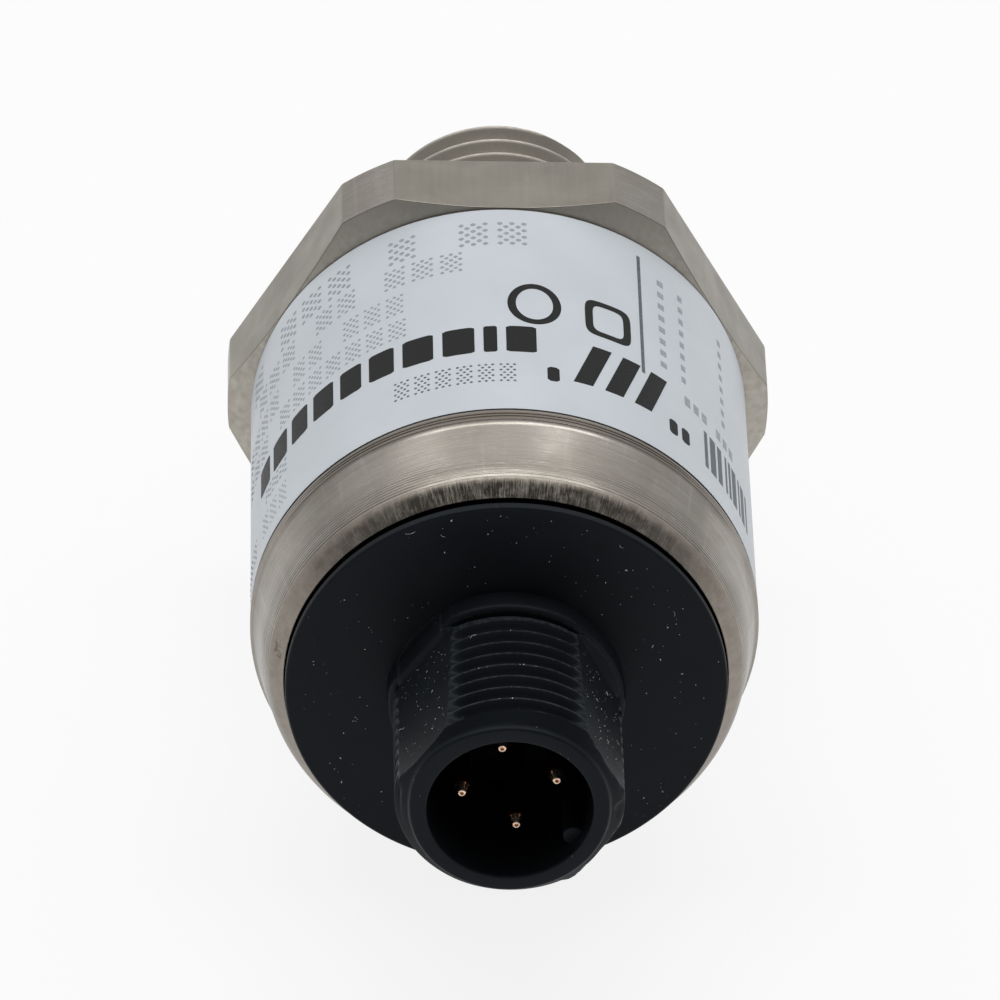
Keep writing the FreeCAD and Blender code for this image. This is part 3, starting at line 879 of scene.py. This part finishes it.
def flattened(angles, profile):
    """The profile cut back by the moulded flats, in front of the disc."""
    y, radius = profile[..., 0], profile[..., 1]
    least_cosine = 0.2
    on_collar = y > groove_front + 0.2
    ahead = (y < disc_face + 0.001) & (radius < collar_radius + 0.2)
    limit = flat_distance(y) / np.maximum(np.cos(from_flats(angles)), least_cosine)[:, None]
    flats = np.min([away_from(angles, middle) for middle in flat_angles[:2]], axis=0)
    side = np.clip((from_flats(angles) - collar_side_start) / collar_side_blend, 0, 1)
    side = collar_side_radius + (collar_radius - collar_side_radius) * side
    collar = np.minimum(collar_flat / np.maximum(np.cos(flats), least_cosine), side)
    limit = np.where(on_collar, collar[:, None], limit)
    cut = profile.copy()
    cut[..., 1] = np.where(ahead, np.minimum(radius, limit), radius)
    return cut


def connector_moulding():
    """Connector with its socket and key, thread, base collar, disc and flange."""
    key_edge = math.asin(key_half_width / socket_radius)
    flat_edge = math.acos(moulded_flat / crest_radius)
    extra = [key_angle + side * edge for side in (-1, 1)
             for edge in (key_edge - 1e-4, key_edge + 1e-3)]
    extra += [middle + side * (flat_edge + nudge * flat_runout) for middle in flat_angles
              for side in (-1, 1) for nudge in (-0.4, -0.2, 0.0, 0.2, 0.4, 0.6)]
    angles = columns(320, *extra)
    wall = key_wall(angles)
    fade = flat_fade(angles)
    swell = rim_swell * np.exp(-(away_from(angles, flat_angles[1]) / rim_swell_reach) ** 2)
    inside = all_round(angles, [
        (socket_floor, 0.0), (socket_floor, wall), (key_front, wall),
        (key_front, socket_radius), (rim, socket_radius), (rim, nose_radius + swell),
        (thread_front, thread_root_front + swell)])
    front, _ = rounded(inside, [0, 0.15, 0.12, 0, 0.14, 0.20, 0.0], 5)
    thread = thread_rows(angles, thread_front, groove_front, thread_pitch, crest_radius,
                         thread_depth, METRIC_FORM, fade, thread_origin, last_crest)
    flank = (thread_root_front + swell[:, None]
             + first_flank * (thread[..., 0] - thread_front))
    thread[..., 1] = np.minimum(thread[..., 1], flank)
    corners = [
        (groove_front, crest_radius, 0.0),
        (groove_front + groove_side, groove_radius, 0.10),
        (collar_front, groove_radius, 0.10),
        (collar_front, collar_radius, 0.50),
        (disc_face, collar_radius, 0.25),
        (disc_face, disc_radius, 0.38),
        (disc_edge, disc_radius, 0.05),
        (undercut_front, undercut_radius, 0.0),
        (undercut_rear, undercut_radius, 0.0),
        (ring_land_front, disc_radius, 0.0),
        (ring_groove_front, disc_radius, 0.0),
        (ring_groove_front, ring_groove_radius, 0.0),
        (ring_groove_rear, ring_groove_radius, 0.0),
        (ring_groove_rear, disc_radius, 0.0),
        (flange_step, disc_radius, 0.0),
        (flange_step, flange_radius, 0.1),
        (flange_rear, flange_radius, 0.1),
        (flange_rear, boss_radius, 0.0),
        (connector_rear, boss_radius, 0.1),
        (connector_rear, 0.0, 0.0),
    ]
    rear, _ = turned_profile(corners, 5)
    rear = np.repeat(rear[:, 1:], len(angles), axis=0)
    in_groove = (rear[..., 0] < collar_front + 0.001) & (rear[..., 1] < crest_radius)
    filled = crest_radius - (crest_radius - rear[..., 1]) * fade
    rear[..., 1] = np.where(in_groove, filled, rear[..., 1])
    profile = flattened(angles, np.concatenate([front, thread, rear], axis=1))
    piece = swept("connector_moulding", angles, profile, 0, [plastic])
    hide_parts("connector_housing")


def contact(number):
    """Contact pin with a coned tip that keeps a small centre mark from the lathe."""
    angle = math.radians(first_pin_angle + 360 / pin_count * number)
    centre = (pin_circle_radius * math.cos(angle), pin_circle_radius * math.sin(angle))
    mark_floor = pin_tips + centre_mark_radius
    corners = [(mark_floor, 0.0), (mark_floor, centre_mark_radius),
               (pin_tips, centre_mark_rim), (pin_tips, pin_tip_radius),
               (pin_tips + pin_cone, pin_radius), (pin_tails, pin_radius),
               (pin_tails, 0.0)]
    profile, owner = rounded(corners, [0, 0, 0.02, 0.14, 0.3, 0, 0], 6)
    # The rows at the rim of the tip get the pale gold: a painted highlight
    painted_highlight_share = [int(corner in (2, 3)) for corner in owner]
    piece = swept(f"contact_{number + 1}", columns(40), profile, painted_highlight_share,
                  [gold, painted_highlight_gold], centre=centre)
    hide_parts(f"contact_pin_{number + 1}")


# ---------------------------------------------------------------- process side

def process_connection():
    """Hexagon, collar and threaded stud, bored through, with the cell's seat inside."""
    half_flat = math.acos(sleeve_radius / hexagon_corner_radius)
    sides = [math.pi * (2 * i + 1) / hexagon_sides for i in range(hexagon_sides)]
    nudge = 0.004
    extra = [side + sign * (half_flat + step) for side in sides for sign in (-1, 1)
             for step in (-nudge, nudge)]
    angles = columns(240, *extra)
    off = np.min([away_from(angles, side) for side in sides], axis=0)
    reach = np.minimum(sleeve_radius / np.cos(off), hexagon_corner_radius)
    chamfer_end = hexagon_front + (reach - sleeve_radius) * math.tan(hexagon_chamfer)
    pocket_radius = cell_radius + slip_clearance
    clamp_pocket = clamp_radius + slip_clearance
    spigot_radius = flange_radius
    face_edge = sleeve_radius - 0.02
    corners = [
        (stud_end, bore_radius + bore_chamfer, 0.03),
        (stud_end - bore_chamfer, bore_radius, 0.0),
        (chamber_floor, bore_radius, 0.0),
        (chamber_floor, pocket_radius, 0.0),
        (cell_rear, pocket_radius, 0.0),
        (cell_rear, clamp_pocket, 0.0),
        (spigot_end, clamp_pocket, 0.0),
        (spigot_end, spigot_radius, 0.0),
        (hexagon_front, spigot_radius, 0.0),
        (hexagon_front, face_edge, 0.0),
        (chamfer_end, reach, 0.08),
        (hexagon_back, reach, 0.12),
        (hexagon_back, collar_outer, 0.08),
        (0.0, collar_outer, 0.15),
        (0.0, seal_recess_radius, 0.05),
        (seal_recess, seal_recess_radius, 0.05),
        (seal_recess, neck_radius, 0.05),
        (neck_end, neck_radius, 0.0),
    ]
    stacked = all_round(angles, [(y, radius) for y, radius, _ in corners])
    body, owner = rounded(stacked, [rounding for _, _, rounding in corners], 3)
    thread = thread_rows(angles, neck_end, stud_end, stud_pitch, stud_radius, stud_depth,
                         WHITWORTH_FORM)
    start_cone = neck_radius + (thread[..., 0] - neck_end)
    end_cone = stud_radius - (thread[..., 0] - (stud_end - stud_chamfer))
    thread[..., 1] = np.minimum(thread[..., 1], np.minimum(start_cone, end_cone))
    close = np.broadcast_to(body[:, :1], (len(angles), 1, 2))
    profile = np.concatenate([body, thread, close], axis=1)
    drawn, dull = 1, 2
    front_face, flats = (8, 9), 10
    finishes = np.zeros(profile.shape[:2], int)
    # The stud's thread rows and the hexagon's front face get the paler steel: painted light
    finishes[:, len(owner):] = dull
    on_flat = np.append(np.minimum(off[:-1], off[1:]) < half_flat - nudge / 2, False)
    for row, corner in enumerate(owner):
        if corner in front_face:
            finishes[:, row] = dull
        if corner == flats:
            finishes[on_flat, row] = drawn
    piece = swept("process_connection", angles, profile, finishes,
                  [steel, drawn_steel, pale_painted_steel])
    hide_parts("process_fitting")


def port_seal():
    """Elastomer profile ring in the collar."""
    inner = neck_radius + seal_neck_gap
    seam = (seal_seat + 0.5, inner, 0.0)
    corners = [
        seam,
        (seal_seat, inner, 0.05),
        (seal_seat, seal_radius, 0.05),
        (seal_front, seal_radius, 0.35),
        (seal_front, inner, 0.35),
        seam,
    ]
    places, _ = turned_profile(corners, 5)
    piece = swept("port_seal", columns(160), places, 0, [rubber])
    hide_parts("port_seal_ring")


# ---------------------------------------------------------------- dust

def dust_on_connector():
    """White specks and short fibres that lie on the black moulding."""
    draw = random.Random(7)
    mesh = bmesh.new()

    def any_side(normal):
        side = normal.orthogonal().normalized()
        return Matrix.Rotation(draw.uniform(0, math.tau), 3, normal) @ side

    def speck(place, normal, size):
        side = any_side(normal)
        across = normal.cross(side)
        made = bmesh.ops.create_icosphere(mesh, subdivisions=1, radius=1.0)
        length = size * draw.uniform(1.0, 2.2)
        for vert in made["verts"]:
            jitter = draw.uniform(0.65, 1.2)
            vert.co = (place + side * (vert.co.x * length * jitter)
                       + across * (vert.co.y * size * jitter)
                       + normal * (vert.co.z * size * 0.45 + size * 0.3)) * MM

    def fibre(place, normal, size, length):
        side = any_side(normal)
        bend = normal.cross(side) * draw.uniform(-0.35, 0.35) * length
        rings = []
        for i in range(6):
            u = i / 5 - 0.5
            middle = place + side * (u * length) + bend * (4 * u * u) + normal * size
            rings.append([mesh.verts.new((middle + (normal * c + normal.cross(side) * s)
                                          * size) * MM)
                          for c, s in ((1, 0), (0, 1), (-1, 0), (0, -1))])
        for one, two in zip(rings, rings[1:]):
            for i in range(4):
                mesh.faces.new((one[i - 1], one[i], two[i], two[i - 1]))
        mesh.faces.new(rings[0])
        mesh.faces.new(rings[-1])

    def outward(angle):
        return Vector((math.cos(angle), 0, math.sin(angle)))

    def on_disc():
        inner, outer = 6.9, 11.3
        radius = math.sqrt(draw.uniform(inner ** 2, outer ** 2))
        place = outward(draw.uniform(0, math.tau)) * radius
        return place + Vector((0, disc_face, 0)), Vector((0, -1, 0))

    def on_flat():
        middle = draw.choice(flat_angles[1:])
        angle = middle + draw.uniform(-0.36, 0.36)
        y = draw.uniform(thread_front + 1.0, groove_front)
        place = outward(angle) * (flat_distance(y) / math.cos(angle - middle))
        return place + Vector((0, y, 0)), outward(middle)

    def on_rim():
        out = outward(draw.uniform(-2.4, 0.6))
        return (out * draw.uniform(socket_radius + 0.2, nose_radius - 0.16)
                + Vector((0, rim + 0.02, 0)), Vector((0, -1, 0)))

    def on_crest():
        angle = draw.uniform(1.0, 2.0)
        y = thread_origin + (draw.randrange(2, 9) - angle / math.tau) * thread_pitch
        return outward(angle) * (crest_radius - 0.01) + Vector((0, y, 0)), outward(angle)

    sizes = (0.6, 0.8, 0.8, 1.0, 1.0, 1.3, 1.8)
    for where, count, size in ((on_disc, 130, 0.021), (on_flat, 170, 0.015),
                               (on_rim, 40, 0.014), (on_crest, 18, 0.017)):
        for _ in range(count):
            speck(*where(), size * draw.choice(sizes))
    for where, count, length in ((on_disc, 9, 0.45), (on_flat, 9, 0.22), (on_crest, 1, 0.3)):
        for _ in range(count):
            fibre(*where(), 0.010, length * draw.uniform(0.5, 1.3))
    finish_mesh("dust_specks", mesh, [lint], sharp_angle=180)


# ---------------------------------------------------------------- the object

housing_shell()
label_film_wrap()
label_print()
connector_moulding()
for number in range(pin_count):
    contact(number)
process_connection()
port_seal()
dust_on_connector()

for part in frame["record"]["subparts"]:
    node = frame["nodes"][part["node"]]
    node.data.materials.clear()
    node.data.materials.append(inner_finishes[part["material_slot"]])


# ---------------------------------------------------------------- floor, lights, camera

floor_half_size = 4.0
floor_glow = 0.85
camera_azimuth = math.radians(-2.1163)
camera_elevation = math.radians(35.0143)
camera_roll = math.radians(1.960)
camera_aim = Vector((-0.044, -16.0, 0.163)) * MM
camera_distance = 605.41 * MM
camera_lens = 404.28


def pale_floor():
    """Large pale floor that keeps the object's shadow."""
    low = cad_box[0][2]
    half = floor_half_size
    mesh = bmesh.new()
    mesh.faces.new([mesh.verts.new(p) for p in ((-half, -half, low), (half, -half, low),
                                                (half, half, low), (-half, half, low))])
    data = bpy.data.meshes.new("floor")
    mesh.to_mesh(data)
    mesh.free()
    material = bpy.data.materials.new("pale_floor_paint")
    material.use_nodes = True
    tree = material.node_tree
    tree.nodes.clear()
    paint = add(tree, "BsdfDiffuse", {"Color": linear("#eeeeee")})
    shown = add(tree, "Emission", {"Color": linear("#ffffff"), "Strength": 1.0})
    path = add(tree, "LightPath")
    seen = add(tree, "Math", {0: path.outputs["Is Camera Ray"],
                              1: path.outputs["Is Glossy Ray"]}, operation="MAXIMUM")
    mixed = add(tree, "MixShader", {0: times(tree, seen.outputs[0], floor_glow),
                                    1: paint.outputs[0], 2: shown.outputs[0]})
    add(tree, "OutputMaterial", {0: mixed.outputs[0]})
    data.materials.append(material)
    floor = placed("floor", data)


def soft_light(name, place, size, power, aim=(0, -0.016, 0)):
    """Rectangular softbox at a place in metres, turned to the object."""
    lamp = bpy.data.lights.new(name, "AREA")
    lamp.shape = "RECTANGLE"
    lamp.size, lamp.size_y = size
    lamp.energy = power
    light = placed(name, lamp)
    light.location = place
    light.rotation_euler = (Vector(aim) - Vector(place)).to_track_quat("-Z", "Y").to_euler()


def studio_world():
    """Soft surround: pale overhead and behind, dim on the side where the camera stands,
    and white where the camera looks at it."""
    world = bpy.data.worlds.new("studio")
    bpy.context.scene.world = world
    world.use_nodes = True
    tree = world.node_tree
    tree.nodes.clear()
    path = add(tree, "LightPath")
    way = add(tree, "SeparateXYZ", {0: add(tree, "TexCoord").outputs["Generated"]})
    height = ranged(tree, way.outputs[2], 0.0, 0.9, 0.56, 1.05)
    front = ranged(tree, way.outputs[1], -0.42, 0.05, 0.15, 1.0, smooth=True)
    soft = add(tree, "Background", {"Color": linear("#ffffff"),
                                    "Strength": times(tree, height, front)})
    white = add(tree, "Background", {"Color": linear("#ffffff"), "Strength": 1.0})
    mixed = add(tree, "MixShader", {0: path.outputs["Is Camera Ray"], 1: soft.outputs[0],
                                    2: white.outputs[0]})
    add(tree, "OutputWorld", {0: mixed.outputs[0]})


def long_lens_camera():
    """Camera above and in front of the connector, with a long lens and a slight roll."""
    level = math.cos(camera_elevation)
    back = Vector((math.sin(camera_azimuth) * level, -math.cos(camera_azimuth) * level,
                   math.sin(camera_elevation)))
    turn = (-back).to_track_quat("-Z", "Y").to_matrix()
    turn = turn @ Matrix.Rotation(camera_roll, 3, "Z")
    data = bpy.data.cameras.new("camera")
    data.sensor_width = 36.0
    data.lens = camera_lens
    data.clip_start = 0.01
    data.clip_end = 20.0
    camera = placed("camera", data)
    place = camera_aim + back * camera_distance
    camera.matrix_world = Matrix.Translation(place) @ turn.to_4x4()
    bpy.context.scene.camera = camera


pale_floor()
soft_light("top_softbox", (0.0, 0.040, 0.60), (0.80, 0.20), 1.40)
soft_light("left_strip", (-0.29, 0.33, 0.41), (0.05, 0.30), 0.085)
soft_light("right_strip", (0.18, 0.32, 0.47), (0.05, 0.30), 0.085)
studio_world()
long_lens_camera()

scene = bpy.context.scene
scene.view_settings.view_transform = "Standard"
